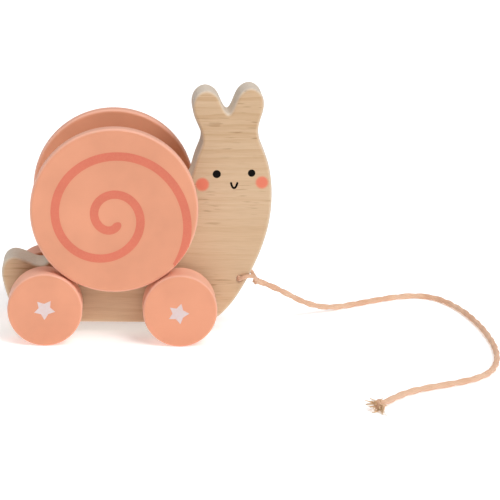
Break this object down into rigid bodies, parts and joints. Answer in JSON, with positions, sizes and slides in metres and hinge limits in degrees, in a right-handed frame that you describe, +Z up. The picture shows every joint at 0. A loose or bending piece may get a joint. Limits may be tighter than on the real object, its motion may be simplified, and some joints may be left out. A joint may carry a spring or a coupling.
{
  "type": "pull along toy",
  "caption": "Wooden snail on wheels with a turning shell of two discs and a twisted pull cord with a knotted, frayed end.",
  "frame": {"origin": "middle of the toy's box without its cord, on the floor that the wheels stand on", "axes": "+X forward, the way the snail faces and is pulled; +Y to the toy's left; +Z up"},
  "size_m": [0.2969, 0.2281, 0.1518],
  "materials": {
    "pine": "fine-sanded, clear matt oil, grain along X",
    "peach_paint": "satin peach paint on wood",
    "dowel": "plain beech dowel",
    "cotton_cord": "twisted matt cotton"
  },
  "bodies": {
    "snail": {"snail_body": "pine", "cord_loop": "cotton_cord", "chest_knot": "cotton_cord", "pull_cord": "cotton_cord", "end_knot": "cotton_cord", "frayed_tail": "cotton_cord"},
    "rear_wheels": {"rear_axle": "dowel", "rear_wheel_right": "peach_paint", "rear_wheel_left": "peach_paint", "rear_washer_right": "dowel", "rear_washer_left": "dowel"},
    "front_wheels": {"front_axle": "dowel", "front_wheel_right": "peach_paint", "front_wheel_left": "peach_paint", "front_washer_right": "dowel", "front_washer_left": "dowel"},
    "shell": {"shell_axle": "dowel", "shell_disc_right": "peach_paint", "shell_disc_left": "peach_paint", "shell_spacer_right": "dowel", "shell_spacer_left": "dowel"}
  },
  "joints": [
    {"name": "rear_wheels_turn", "type": "hinge", "parent": "snail", "child": "rear_wheels", "pos_m": [-0.0537, 0, 0.022], "axis": [0, 1, 0], "continuous": true},
    {"name": "front_wheels_turn", "type": "hinge", "parent": "snail", "child": "front_wheels", "pos_m": [0.0258, 0, 0.022], "axis": [0, 1, 0], "continuous": true},
    {"name": "shell_turn", "type": "hinge", "parent": "snail", "child": "shell", "pos_m": [-0.0137, 0, 0.0818], "axis": [0, 1, 0], "continuous": true}
  ]
}
